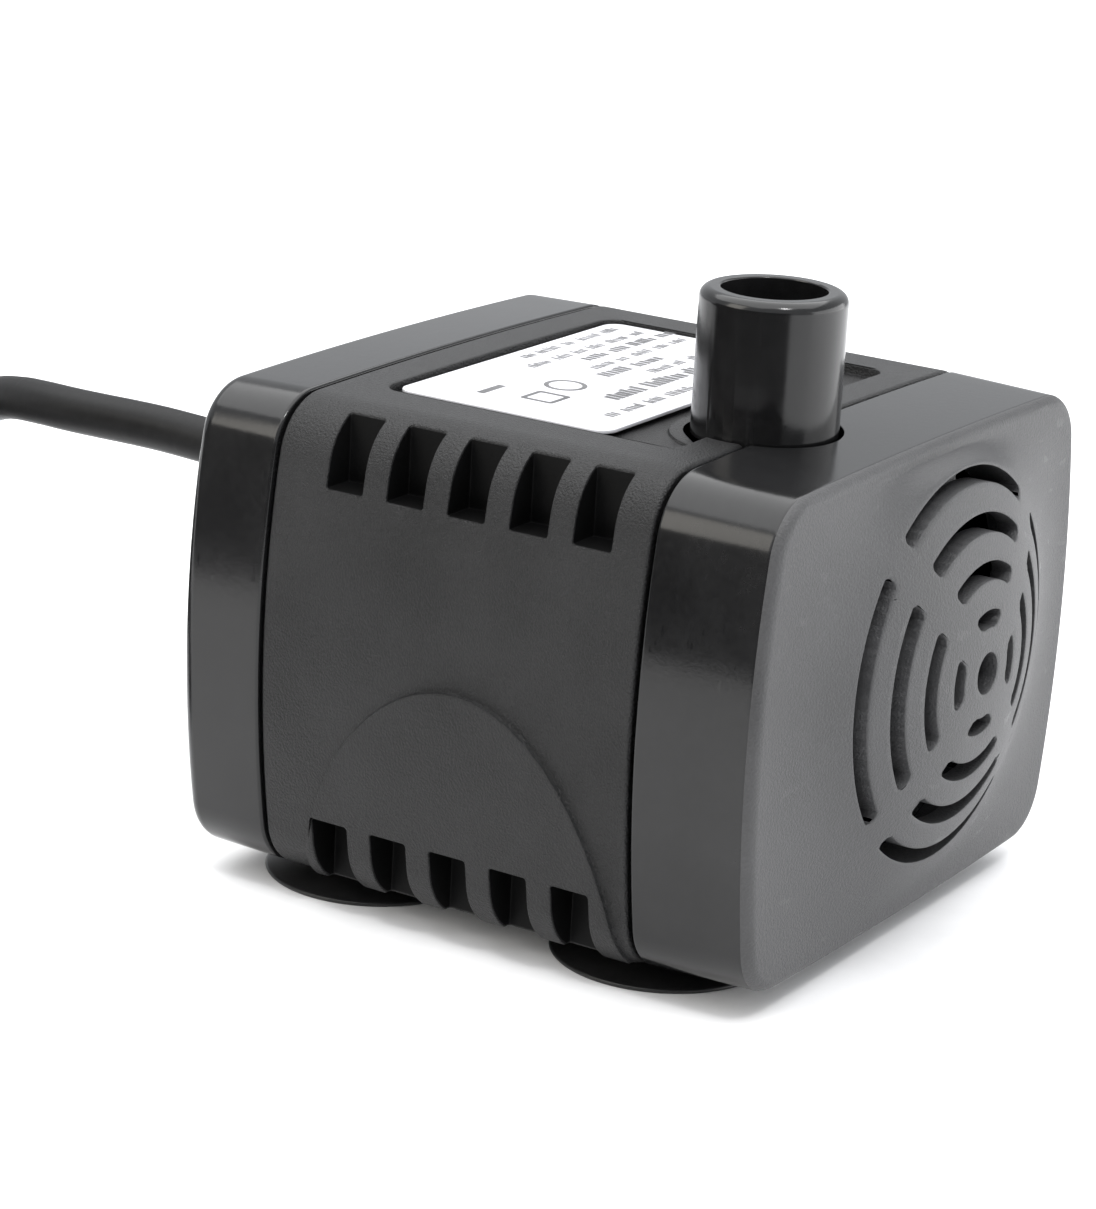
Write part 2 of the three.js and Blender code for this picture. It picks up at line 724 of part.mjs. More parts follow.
const texturedPlastic = () => material(0x2b2c2e, 0.55);
const glossPlastic = () => material(0x17181a, 0.15);
const rubber = () => material(0x1c1d1e, 0.6);
const paper = () => material(0xf2f2f0, 0.5);
const ceramic = () => material(0xe8e4dc, 0.3);
const ferrite = () => material(0x3a3b3f, 0.4, 0.3);
const laminate = () => material(0x83868c, 0.4, 1);
const nylon = () => material(0xe6e2d6, 0.5);
const copper = () => material(0xb4613a, 0.3, 1);
const circuitBoard = () => material(0x1f6b3a, 0.4);
const chipResin = () => material(0x1a1a1c, 0.4);
const tantalum = () => material(0xc08a3c, 0.5);
const cordSheath = () => material(0x1a1b1d, 0.45);
const steel = () => material(0xc4c6ca, 0.25, 1);
const redWire = () => material(0xb3201c, 0.4);
const blackWire = () => material(0x18181a, 0.4);

// ---- Assembly ------------------------------------------------------------------------------

const pump = new THREE.Group();

function add(name, manifold, surface) {
  const mesh = new THREE.Mesh(geometryOf(manifold), surface);
  mesh.name = name;
  pump.add(mesh);
}

add('motor_casing', motorCasing(), texturedPlastic());
add('rear_cover', rearCoverShell(), glossPlastic());
add('front_cover', frontCoverShell(), texturedPlastic());
add('rating_label', ratingLabel(), paper());

add('pump_head', pumpHead(), glossPlastic());
add('chamber_seal', chamberSeal(), rubber());
add('front_bush', tubeY(BORE, frontBush.radius, frontBush.from, frontBush.to, 20), ceramic());
add('rear_bush', tubeY(BORE, rearBush.radius, rearBush.from, rearBush.to, 20), rubber());

add('rotor_shaft', cylinderY(shaft.radius, shaft.from, shaft.to, 16), ceramic());
add('front_washer', thrustWasher(washer.frontY), nylon());
add('impeller', impellerSolid(), glossPlastic());
add('rotor_magnet', tubeY(BORE, magnet.radius, magnet.from, magnet.to, 32), ferrite());
add('rear_washer', thrustWasher(washer.rearY), nylon());

add('stator_core', statorCore(), laminate());
for (const [name, side] of [['left', -1], ['right', 1]]) {
  add(`coil_bobbin_${name}`, coilBobbin(side), nylon());
  add(`coil_winding_${name}`, coilWinding(side), copper());
}
add('driver_board', driverBoard(), circuitBoard());
add('driver_chip', boardPart(driverChip), chipResin());
add('smoothing_capacitor', boardPart(capacitor), tantalum());
add('hall_sensor', hallSensor(), chipResin());
add('motor_lead_positive', motorLead(1), redWire());
add('motor_lead_negative', motorLead(-1), blackWire());

for (const place of footPlaces()) {
  add(place.name, suctionCup(place), rubber());
}

add('cord_gland', cordGland(), rubber());
add('power_cord', cordRun(), cordSheath());
add('cord_coil', coiledCord(), cordSheath());
add('cord_tail', cordTail(), cordSheath());
add('coil_tie_near', coilTie(-1), rubber());
add('coil_tie_far', coilTie(1), rubber());
add('plug_grip', plugGrip(), rubber());
add('plug_shell', plugShellTube(), steel());
add('plug_tongue', plugTongue(), chipResin());

// The dome stands ahead of the front face, so half its rise centres the pump over the origin.
pump.position.y = grille.rise / 2;

export default pump;
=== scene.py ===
"""A small submersible pump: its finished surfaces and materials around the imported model.

Lengths are millimetres, measured like this: x = 0 is the pump's mid plane, y = 0 the middle of the
three casing parts with the grille towards -y, and z = 0 the floor. to_row() turns such a point into
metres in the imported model's frame, and every mesh and object is made with it.
"""

import math
import random

import bmesh
import bpy
from mathutils import Matrix, Vector


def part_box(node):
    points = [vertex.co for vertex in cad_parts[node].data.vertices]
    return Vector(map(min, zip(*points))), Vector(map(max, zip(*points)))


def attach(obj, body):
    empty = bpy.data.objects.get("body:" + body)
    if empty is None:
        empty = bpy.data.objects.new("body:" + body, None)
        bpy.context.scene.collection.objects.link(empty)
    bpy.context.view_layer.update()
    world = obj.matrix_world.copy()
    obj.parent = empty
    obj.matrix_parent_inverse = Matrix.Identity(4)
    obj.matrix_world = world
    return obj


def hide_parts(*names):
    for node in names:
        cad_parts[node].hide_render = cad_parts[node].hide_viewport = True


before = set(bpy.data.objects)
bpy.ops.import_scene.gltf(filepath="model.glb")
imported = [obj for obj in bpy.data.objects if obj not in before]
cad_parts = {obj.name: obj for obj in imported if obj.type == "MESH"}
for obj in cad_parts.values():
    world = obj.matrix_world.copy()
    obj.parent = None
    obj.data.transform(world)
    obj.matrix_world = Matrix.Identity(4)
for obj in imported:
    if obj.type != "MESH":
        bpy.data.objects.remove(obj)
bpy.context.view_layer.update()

MM = 0.001
GAP = 0.3  # clearance between pieces that touch

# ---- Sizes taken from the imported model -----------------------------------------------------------


def box_mm(node):
    low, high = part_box(node)
    return low / MM, high / MM


DEPTH = 44.7
FRONT_Y = -DEPTH / 2
REAR_Y = DEPTH / 2
rear_low, rear_high = box_mm("rear_cover")
SHIFT_Y = rear_high.y - REAR_Y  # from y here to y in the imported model's frame

casing_low, casing_high = box_mm("motor_casing")
cover_high = box_mm("front_cover")[1]
head_high = box_mm("pump_head")[1]
CASING_FRONT = casing_low.y - SHIFT_Y
CASING_BACK = casing_high.y - SHIFT_Y
COVER_BACK = cover_high.y - SHIFT_Y
REAR_COVER_FRONT = rear_low.y - SHIFT_Y
HALF_WIDTH = rear_high.x
TOP_Z = rear_high.z
FOOT_Z = rear_low.z
HALF_HEIGHT = (TOP_Z - FOOT_Z) / 2
MIDDLE_Z = (TOP_Z + FOOT_Z) / 2

# ---- Driving dimensions --------------------------------------------------------------------------

CORNER = 4.4  # the radius of the pump's long edges
SIDE_CROWN = 2  # how far the sides bulge, and the top and bottom
TOP_CROWN = 0.4
CASING_WALL = 3.4
COVER_WALL = 1.8
REAR_WALL = 1.9

# The domed grille: its rings' inner and outer radii from the outside in, and its spokes.
GRILLE_Z = FOOT_Z + 18.7
DOME_RADIUS = 34
DOME_RISE = 4.75
DOME_EDGE = 13.7  # where the dome starts to blend into the face
RING_SLOTS = ((12.45, 13.5), (9.3, 10.55), (6.25, 7.45), (3.15, 4.3))
SPOKE_HALF = 1.4
GRILLE_HOLE = 1.42
FACE_FILLET = 0.9

OUTLET = Vector((-5.7, -12.15))
OUTLET_RADIUS = 4.9
OUTLET_BORE = 3.5
OUTLET_TOP = head_high.z

# The notches across the casing's long edges.
NOTCH_HEIGHT = 5.5
NOTCH_DEPTH = 3.5

# The label's recess in the top.
RECESS_HALF = 14.6
RECESS_FRONT = -10.6
RECESS_BACK = 12.3
RECESS_FLOOR = TOP_Z - 0.9

CORD_RADIUS = 1.7
CORD_Z = 23.8
GLAND_END = 33
COIL = Vector((-8.9, 100))
COIL_RADIUS = 19.6  # from the coil's middle to the middle of its section
COIL_PITCH = 3.55  # from one turn to the next, across and up
COIL_BOTTOM = 1.1


def to_row(x, y, z):
    return Vector((x, y + SHIFT_Y, z)) * MM


# ---- Meshes --------------------------------------------------------------------------------------


def arc(centre_x, centre_y, radius, start, end, steps):
    points = []
    for i in range(steps + 1):
        angle = start + (end - start) * i / steps
        points.append((centre_x + radius * math.cos(angle), centre_y + radius * math.sin(angle)))
    return points


def mirror_quarter(quarter):
    """A closed outline from its quarter that runs from the +x axis to the upright axis."""
    upper_left = [(-x, z) for x, z in reversed(quarter)][1:]
    lower_left = [(-x, -z) for x, z in quarter][1:]
    lower_right = [(x, -z) for x, z in reversed(quarter)][1:-1]
    return quarter + upper_left + lower_left + lower_right


def rounded_rectangle(width, height, radius, steps=8):
    corner = arc(width / 2 - radius, height / 2 - radius, radius, 0, math.pi / 2, steps)
    return mirror_quarter([(width / 2, 0)] + corner + [(0, height / 2)])


def crowned_outline(inset=0.0):
    """The pump's section: four bulging sides and round corners, set in by some distance."""
    side_steps, corner_steps, top_steps = 9, 14, 12
    side_radius = (HALF_HEIGHT**2 + SIDE_CROWN**2) / (2 * SIDE_CROWN)
    top_radius = (HALF_WIDTH**2 + TOP_CROWN**2) / (2 * TOP_CROWN)
    side_x = HALF_WIDTH - side_radius
    top_z = HALF_HEIGHT - top_radius
    from_side = side_radius - CORNER
    from_top = top_radius - CORNER
    between = math.hypot(side_x, top_z)
    along = (between**2 + from_side**2 - from_top**2) / (2 * between)
    across = math.sqrt(from_side**2 - along**2)
    unit_x, unit_z = -side_x / between, top_z / between
    corner_x = side_x + along * unit_x - across * unit_z
    corner_z = along * unit_z + across * unit_x
    side_end = math.atan2(corner_z, corner_x - side_x)
    top_start = math.atan2(corner_z - top_z, corner_x)
    quarter = arc(side_x, 0, side_radius - inset, 0, side_end, side_steps)
    quarter += arc(corner_x, corner_z, CORNER - inset, side_end, top_start, corner_steps)[1:]
    quarter += arc(0, top_z, top_radius - inset, top_start, math.pi / 2, top_steps)[1:]
    return [(x, MIDDLE_Z + z) for x, z in mirror_quarter(quarter)]


def new_object(name, vertices, faces):
    mesh = bpy.data.meshes.new(name)
    mesh.from_pydata([to_row(*v) for v in vertices], [], faces)
    made = bpy.data.objects.new(name, mesh)
    bpy.context.scene.collection.objects.link(made)
    shape = bmesh.new()
    shape.from_mesh(mesh)
    bmesh.ops.recalc_face_normals(shape, faces=shape.faces)
    shape.to_mesh(mesh)
    shape.free()
    return made


def loft(name, rings, closed=False):
    """A solid through rings of the same number of points, capped unless it closes on itself."""
    count = len(rings[0])
    vertices = [point for ring in rings for point in ring]
    faces = []
    for i in range(len(rings) - (0 if closed else 1)):
        a = i * count
        b = (i + 1) % len(rings) * count
        faces += [(a + j, a + (j + 1) % count, b + (j + 1) % count, b + j) for j in range(count)]
    if not closed:
        last = (len(rings) - 1) * count
        faces += [tuple(range(count)), tuple(range(last, last + count))]
    return new_object(name, vertices, faces)


def turned(name, profile, axis, centre, segments=64, closed=False):
    """A profile of (radius, place along the axis) turned about a line along y or z."""
    rings = []
    for radius, along in profile:
        ring = []
        for i in range(segments):
            angle = 2 * math.pi * i / segments
            a, b = radius * math.cos(angle), radius * math.sin(angle)
            if axis == "y":
                ring.append((centre[0] + a, along, centre[1] + b))
            else:
                ring.append((centre[0] + a, centre[1] + b, along))
        rings.append(ring)
    return loft(name, rings, closed)


def cylinder(name, radius, low, high, axis, centre, segments=48):
    return turned(name, [(radius, low), (radius, high)], axis, centre, segments)


def tube(name, bore, radius, low, high, axis, centre, segments=48):
    profile = [(bore, low), (radius, low), (radius, high), (bore, high)]
    return turned(name, profile, axis, centre, segments, closed=True)


def prism_y(name, outline, low, high):
    return loft(name, [[(x, y, z) for x, z in outline] for y in (low, high)])


def prism_z(name, outline, low, high, x=0.0, y=0.0):
    return loft(name, [[(px + x, py + y, z) for px, py in outline] for z in (low, high)])


def block(name, low, high):
    outline = [(low[0], low[1]), (high[0], low[1]), (high[0], high[1]), (low[0], high[1])]
    return prism_z(name, outline, low[2], high[2])


def joined(name, objects):
    shape = bmesh.new()
    for piece in objects:
        shape.from_mesh(piece.data)
        bpy.data.objects.remove(piece)
    mesh = bpy.data.meshes.new(name)
    shape.to_mesh(mesh)
    shape.free()
    made = bpy.data.objects.new(name, mesh)
    bpy.context.scene.collection.objects.link(made)
    return made


def apply_modifiers(piece):
    graph = bpy.context.evaluated_depsgraph_get()
    mesh = bpy.data.meshes.new_from_object(piece.evaluated_get(graph))
    piece.modifiers.clear()
    piece.data = mesh


def combine(target, other, operation):
    boolean = target.modifiers.new("combine", "BOOLEAN")
    boolean.operation = operation
    boolean.solver = "EXACT"
    boolean.object = other
    apply_modifiers(target)
    bpy.data.objects.remove(other)


def cut(target, *cutters):
    for cutter in cutters:
        combine(target, cutter, "DIFFERENCE")


def smooth(piece, angle=32):
    """Smooth shading that keeps the edges sharper than an angle, and flat faces flat."""
    piece.data.shade_smooth()
    piece.data.set_sharp_from_angle(angle=math.radians(angle))
    weighted = piece.modifiers.new("even_shading", "WEIGHTED_NORMAL")
    weighted.keep_sharp = True
    weighted.weight = 60


def soften(piece, width, segments=2):
    """Rounds every edge that turns by more than 40 degrees."""
    merge_distance = 0.02 * MM
    shape = bmesh.new()
    shape.from_mesh(piece.data)
    bmesh.ops.remove_doubles(shape, verts=shape.verts, dist=merge_distance)
    bmesh.ops.dissolve_degenerate(shape, edges=shape.edges, dist=merge_distance)
    shape.to_mesh(piece.data)
    shape.free()
    bevel = piece.modifiers.new("soft_edges", "BEVEL")
    bevel.width = width * MM
    bevel.segments = segments
    bevel.limit_method = "ANGLE"
    bevel.angle_limit = math.radians(40)
    bevel.use_clamp_overlap = False
    bevel.miter_outer = "MITER_ARC"
    apply_modifiers(piece)
    smooth(piece)


# ---- Materials -----------------------------------------------------------------------------------


def node_of(tree, kind, **inputs):
    node = tree.nodes.new(kind)
    for name, value in inputs.items():
        node.inputs[name].default_value = value
    return node


def grainy(name, dark, light, rough, grain, bump, metallic=0.0, wear=0.08, ior=1.5):
    """A moulded or cut surface: colour that wanders a little, uneven gloss and a fine grain.

    dark and light are the two colours it wanders between, rough the lowest and highest roughness,
    grain the size of its grain in millimetres, bump the grain's height in millimetres and wear how
    much smoother its fine scratches are.
    """
    made = bpy.data.materials.new(name)
    made.use_nodes = True
    tree = made.node_tree
    link = tree.links.new
    shader = tree.nodes["Principled BSDF"]
    shader.inputs["Metallic"].default_value = metallic
    shader.inputs["IOR"].default_value = ior
    place = tree.nodes.new("ShaderNodeTexCoord").outputs["Object"]

    patch = 9
    fine = node_of(tree, "ShaderNodeTexNoise", Scale=1 / (grain * MM), Detail=3.0, Roughness=0.6)
    broad = node_of(tree, "ShaderNodeTexNoise", Scale=1 / (patch * MM), Detail=4.0, Roughness=0.55)
    for texture in (fine, broad):
        link(place, texture.inputs["Vector"])

    blend = node_of(tree, "ShaderNodeMath")
    blend.operation = "MULTIPLY_ADD"
    fine_share = 0.55
    blend.inputs[1].default_value = fine_share
    link(fine.outputs["Fac"], blend.inputs[0])
    link(broad.outputs["Fac"], blend.inputs[2])
    colours = tree.nodes.new("ShaderNodeValToRGB")
    lowest, highest = colours.color_ramp.elements
    lowest.position, lowest.color = 0.55, (*dark, 1)
    highest.position, highest.color = 1.0, (*light, 1)
    link(blend.outputs[0], colours.inputs["Fac"])
    link(colours.outputs["Color"], shader.inputs["Base Color"])

    gloss = node_of(tree, "ShaderNodeMapRange")
    gloss.inputs["From Min"].default_value = 0.3
    gloss.inputs["From Max"].default_value = 0.7
    gloss.inputs["To Min"].default_value = rough[0]
    gloss.inputs["To Max"].default_value = rough[1]
    link(broad.outputs["Fac"], gloss.inputs["Value"])
    link(gloss.outputs["Result"], shader.inputs["Roughness"])

    relief = node_of(tree, "ShaderNodeBump", Strength=1.0, Distance=bump * MM)
    link(fine.outputs["Fac"], relief.inputs["Height"])
    link(relief.outputs["Normal"], shader.inputs["Normal"])
    if wear:
        scuff(tree, shader, place, wear)
    return made


def scuff(tree, shader, place, amount):
    """Sparse short scratches that catch the light, by lowering the roughness in thin lines."""
    stretch = node_of(tree, "ShaderNodeMapping", Scale=(400.0, 2600.0, 900.0), Rotation=(0.3, 0.5, 0.7))
    tree.links.new(place, stretch.inputs["Vector"])
    lines = node_of(tree, "ShaderNodeTexNoise", Scale=1.0, Detail=2.0)
    tree.links.new(stretch.outputs["Vector"], lines.inputs["Vector"])
    thin = node_of(tree, "ShaderNodeMapRange")
    thin.inputs["From Min"].default_value = 0.66
    thin.inputs["From Max"].default_value = 0.72
    thin.inputs["To Max"].default_value = amount
    tree.links.new(lines.outputs["Fac"], thin.inputs["Value"])
    lowered = node_of(tree, "ShaderNodeMath")
    lowered.operation = "SUBTRACT"
    lowered.use_clamp = True
    old = shader.inputs["Roughness"].links[0].from_socket
    tree.links.new(old, lowered.inputs[0])
    tree.links.new(thin.outputs["Result"], lowered.inputs[1])
    tree.links.new(lowered.outputs[0], shader.inputs["Roughness"])


def grey(value):
    return (value, value, value * 1.04)


textured_plastic = grainy(
    "textured_plastic", grey(0.005), grey(0.014), (0.34, 0.46), 0.16, 0.145, wear=0, ior=1.40
)
# Near-black, dull material for the notches' inner walls: painted shade in the recesses, not a different
# plastic.
notch_painted_shade = grainy("notch_painted_shade", grey(0.001), grey(0.003), (0.50, 0.60), 0.3, 0.010, ior=1.22)
# The face is the band's plastic with a finer, matte grain; its lighter base colour is painted light from
# the front right.
face_plastic_painted_light = grainy("face_plastic_painted_light", grey(0.026), grey(0.046), (0.44, 0.54), 0.17, 0.070)
band_plastic = grainy("band_plastic", grey(0.006), grey(0.012), (0.13, 0.21), 0.5, 0.004, ior=1.42)
gloss_plastic = grainy("gloss_plastic", grey(0.004), grey(0.009), (0.15, 0.22), 0.8, 0.004, ior=1.46)
soft_rubber = grainy("soft_rubber", grey(0.012), grey(0.022), (0.42, 0.56), 0.3, 0.012)
cup_rubber = grainy("cup_rubber", grey(0.006), grey(0.014), (0.30, 0.42), 0.5, 0.010)
cord_sheath = grainy("cord_sheath", grey(0.004), grey(0.009), (0.40, 0.50), 0.45, 0.008, ior=1.3)
tie_band = grainy("tie_band", grey(0.014), grey(0.026), (0.35, 0.5), 0.2, 0.010)
plug_moulding = grainy("plug_moulding", grey(0.012), grey(0.022), (0.38, 0.5), 0.18, 0.016)
ceramic = grainy("ceramic", (0.72, 0.69, 0.62), (0.82, 0.79, 0.73), (0.2, 0.34), 0.12, 0.006)
nylon = grainy("nylon", (0.70, 0.66, 0.56), (0.80, 0.77, 0.68), (0.35, 0.5), 0.2, 0.008)
ferrite = grainy("ferrite", grey(0.035), grey(0.065), (0.35, 0.5), 0.08, 0.010, metallic=0.3)
chip_resin = grainy("chip_resin", grey(0.010), grey(0.020), (0.4, 0.55), 0.06, 0.008)
capacitor_resin = grainy("capacitor_resin", (0.42, 0.22, 0.05), (0.55, 0.32, 0.09), (0.35, 0.5), 0.1, 0.008)
red_wire = grainy("red_wire", (0.42, 0.02, 0.015), (0.55, 0.04, 0.03), (0.3, 0.42), 0.2, 0.006)
black_wire = grainy("black_wire", grey(0.010), grey(0.020), (0.3, 0.42), 0.2, 0.006)
plug_steel = grainy("plug_steel", grey(0.52), grey(0.62), (0.18, 0.32), 0.2, 0.003, metallic=1.0)
plug_contact = grainy(
    "plug_contact", (0.75, 0.52, 0.22), (0.85, 0.62, 0.30), (0.2, 0.3), 0.2, 0.003, metallic=1.0
)


def wave_relief(material, direction, pitch, height):
    """Adds fine parallel ridges, such as sheets or wires, across a grainy material."""
    tree = material.node_tree
    shader = tree.nodes["Principled BSDF"]
    place = tree.nodes["Texture Coordinate"].outputs["Object"]
    ridges = tree.nodes.new("ShaderNodeTexWave")
    ridges.bands_direction = direction
    ridges.inputs["Scale"].default_value = math.pi / 10 / (pitch * MM)
    tree.links.new(place, ridges.inputs["Vector"])
    relief = tree.nodes.new("ShaderNodeBump")
    relief.inputs["Distance"].default_value = height * MM
    tree.links.new(ridges.outputs["Fac"], relief.inputs["Height"])
    tree.links.new(shader.inputs["Normal"].links[0].from_socket, relief.inputs["Normal"])
    tree.links.new(relief.outputs["Normal"], shader.inputs["Normal"])


laminated_steel = grainy("laminated_steel", grey(0.28), grey(0.42), (0.3, 0.45), 0.15, 0.006, metallic=1.0)
wave_relief(laminated_steel, "Y", 0.5, 0.05)
copper_wire = grainy(
    "copper_wire", (0.48, 0.16, 0.06), (0.62, 0.24, 0.10), (0.2, 0.32), 0.2, 0.004, metallic=1.0
)
wave_relief(copper_wire, "X", 0.2, 0.06)
circuit_board = grainy("circuit_board", (0.012, 0.10, 0.03), (0.02, 0.15, 0.05), (0.25, 0.4), 0.3, 0.006)
impeller_plastic = grainy("impeller_plastic", grey(0.010), grey(0.020), (0.22, 0.34), 0.3, 0.006)
label_film = grainy("label_film", grey(0.60), grey(0.66), (0.28, 0.40), 0.4, 0.003, wear=0)
ink_grey = grainy("ink_grey", grey(0.05), grey(0.14), (0.4, 0.5), 0.3, 0.002, wear=0)
floor_paper = grainy("floor_paper", (0.88, 0.88, 0.885), (0.93, 0.93, 0.935), (0.5, 0.6), 2.0, 0.01, wear=0)
flag_black = grainy("flag_black", grey(0.001), grey(0.002), (0.9, 1.0), 2.0, 0.01, wear=0)


# ---- Camera --------------------------------------------------------------------------------------


CAMERA_AZIMUTH = -58.445
CAMERA_ELEVATION = 17.087
CAMERA_ROLL = 3.146
CAMERA_DISTANCE = 260.04
AIM_HEIGHT = 18.841
AIM_LEFT = 6.193  # how far the middle of the picture is to the left of the pump's axis
FOCAL_LENGTH = 110.94
SENSOR_WIDTH = 36


def make_camera():
    azimuth = math.radians(CAMERA_AZIMUTH)
    elevation = math.radians(CAMERA_ELEVATION)
    roll = math.radians(CAMERA_ROLL)
    right = Vector((math.cos(azimuth), math.sin(azimuth), 0))
    back = Vector((
        math.sin(azimuth) * math.cos(elevation),
        -math.cos(azimuth) * math.cos(elevation),
        math.sin(elevation),
    ))
    up = back.cross(right)
    aim = Vector((0, 0, AIM_HEIGHT)) - AIM_LEFT * right
    turned_right = right * math.cos(roll) + up * math.sin(roll)
    turned_up = up * math.cos(roll) - right * math.sin(roll)
    lens = bpy.data.cameras.new("camera")
    lens.sensor_width = SENSOR_WIDTH
    lens.lens = FOCAL_LENGTH
    lens.clip_start = 0.01
    lens.clip_end = 20
    camera = bpy.data.objects.new("camera", lens)
    bpy.context.scene.collection.objects.link(camera)
    turn = Matrix((turned_right, turned_up, back)).transposed().to_4x4()
    camera.matrix_world = Matrix.Translation(to_row(*(aim + back * CAMERA_DISTANCE))) @ turn
    bpy.context.scene.camera = camera


make_camera()

# ---- The cord ------------------------------------------------------------------------------------

# From the gland over and down to the floor, and on to the coil's outermost turn.
CORD_ROUTE = (
    (0, 33.3, 23.8),
    (0, 36, 23.95),
    (0, 39, 24.1),
    (0, 42, 24.2),
    (0, 45, 24.2),
    (0, 48, 24.15),
    (0.1, 51, 24.1),
    (0.5, 54, 24),
    (1.2, 57, 23.7),
    (2.3, 60, 22.9),
    (3.7, 63, 21.3),
    (5.4, 66, 18.9),
    (7.2, 69, 15.9),
    (9, 72, 12.7),
    (10.8, 75, 9.7),
    (12.4, 78, 7.1),
    (13.7, 81, 5.1),
    (14.6, 84.1, 3.85),
    (15.4, 88.4, 3.1),
    (15.85, 92.4, 2.88),
    (16, 96.2, 2.85),
)
# The coil's turns in the order they are wound: column from the outside in, and row from the floor.
WINDING = ((0, 0), (1, 0), (2, 0), (3, 0), (3, 1), (3, 2), (2, 2), (2, 1), (1, 1), (1, 2), (0, 2), (0, 1))
TURNS = 11.5
TURN_POINTS = 24
CHANGE_FROM = 0.65  # the share of a turn after which the cord moves over to the next one
PLUG_X = COIL.x - COIL_RADIUS - 1.5 * COIL_PITCH
PLUG_BACK = 78
GRIP_LENGTH = 21
PLUG_Z = 3.8
# From the coil's last half turn down to the plug's back: how far along y, and how high.
CORD_TAIL = ((96, 6.3), (92, 5.9), (88, 4.9), (84.5, 4.1), (81, 3.82), (78.3, 3.8), (74, 3.8))


def coil_place(turn):
    """Radius and height after so many turns."""
    index = int(turn)
    column, row = WINDING[index]
    if index + 1 < len(WINDING):
        change = max(0, (turn - index - CHANGE_FROM) / (1 - CHANGE_FROM))
        change = change * change * (3 - 2 * change)
        column += (WINDING[index + 1][0] - column) * change
        row += (WINDING[index + 1][1] - row) * change
    radius = COIL_RADIUS + (1.5 - column) * COIL_PITCH
    return radius, COIL_BOTTOM + CORD_RADIUS + 0.05 + row * COIL_PITCH


def cord_points():
    points = list(CORD_ROUTE)
    for i in range(round(TURNS * TURN_POINTS) + 1):
        radius, z = coil_place(i / TURN_POINTS)
        angle = 2 * math.pi * i / TURN_POINTS
        points.append((COIL.x + radius * math.cos(angle), COIL.y + radius * math.sin(angle), z))
    return points + [(PLUG_X, y, z) for y, z in CORD_TAIL]


def make_cord():
    curve = bpy.data.curves.new("cord", "CURVE")
    curve.dimensions = "3D"
    curve.resolution_u = 4
    curve.bevel_depth = CORD_RADIUS * MM
    curve.bevel_resolution = 6
    curve.use_fill_caps = True
    points = cord_points()
    spline = curve.splines.new("BEZIER")
    spline.bezier_points.add(len(points) - 1)
    for bezier, point in zip(spline.bezier_points, points):
        bezier.co = to_row(*point)
        bezier.handle_left_type = "AUTO"
        bezier.handle_right_type = "AUTO"
    made = bpy.data.objects.new("cord", curve)
    bpy.context.scene.collection.objects.link(made)
    return made


def dress(piece, material, nodes, body="housing"):
    """Gives a finished piece its material and its body, and hides the CAD nodes that it stands for."""
    piece.data.materials.clear()
    piece.data.materials.append(material)
    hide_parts(*nodes)
    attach(piece, body)
    return piece


# ---- The casing's three parts --------------------------------------------------------------------


def rounded_ends(low, high, low_round, high_round, low_draft=0.0, high_draft=0.0, steps=5):
    """Places along y and insets of a section with rounded ends and a slight taper towards them."""
    places = []
    for i in range(steps + 1):
        angle = math.pi / 2 * i / steps
        inset = low_draft + low_round * (1 - math.sin(angle))
        places.append((low + low_round * (1 - math.cos(angle)), inset))
    for i in range(steps + 1):
        angle = math.pi / 2 * i / steps
        inset = high_draft + high_round * (1 - math.cos(angle))
        places.append((high - high_round * (1 - math.sin(angle)), inset))
    return places


def section_rings(places):
    return [[(x, y, z) for x, z in crowned_outline(inset)] for y, inset in places]


def corner_slots():
    """The notches across the four long edges."""
    count, first, pitch, width = 5, 9.85, 4.77, 2.85
    beyond = 2  # how far the cutting blocks reach past the casing
    right_side = (HALF_WIDTH - NOTCH_DEPTH, HALF_WIDTH + beyond)
    left_side = (-HALF_WIDTH - beyond, NOTCH_DEPTH - HALF_WIDTH)
    upper = (TOP_Z - NOTCH_HEIGHT, TOP_Z + beyond)
    lower = (FOOT_Z - beyond, FOOT_Z + NOTCH_HEIGHT)
    blocks = []
    for i in range(count):
        y = first - i * pitch
        for x in (right_side, left_side):
            for z in (upper, lower):
                blocks.append(block("slot", (x[0], y - width / 2, z[0]), (x[1], y + width / 2, z[1])))
    return joined("slots", blocks)


def gets_notch_painted_shade(face):
    """Whether a face lies inside the notches and gets their painted shade: on a wall or in a corner between
    walls.
    """
    ends, slack, corner = 1, 0.1, 0.4
    under_top, under_side = 1.3, 1.4  # faces nearer to the skin than these belong to the skin
    centre = face.center / MM
    between_ends = CASING_FRONT + ends < centre.y - SHIFT_Y < CASING_BACK - ends
    above_floor = abs(centre.z - MIDDLE_Z) - HALF_HEIGHT + NOTCH_HEIGHT
    off_back = abs(centre.x) - HALF_WIDTH + NOTCH_DEPTH
    nearest = min(above_floor, off_back)
    if not between_ends or nearest < -slack or above_floor > NOTCH_HEIGHT - under_top:
        return False
    flat = max(abs(part) for part in face.normal) > 0.999
    return flat or (nearest < corner and off_back < NOTCH_DEPTH - under_side)


def outlet_notch():
    return cylinder("notch", OUTLET_RADIUS + GAP, MIDDLE_Z, TOP_Z + 2, "z", OUTLET, 96)


def label_recess():
    """The shallow tray for the label, with a low collar left standing round the outlet."""
    tray_corner, collar_radius, collar_height = 1.4, 6.3, 0.28
    outline = rounded_rectangle(2 * RECESS_HALF, RECESS_BACK - RECESS_FRONT, tray_corner)
    tray = prism_z("tray", outline, RECESS_FLOOR, TOP_Z + 2, 0, (RECESS_BACK + RECESS_FRONT) / 2)
    collar_top = RECESS_FLOOR + collar_height
    collar = cylinder("collar", collar_radius, RECESS_FLOOR - 1, collar_top, "z", OUTLET, 96)
    cut(tray, collar)
    return tray


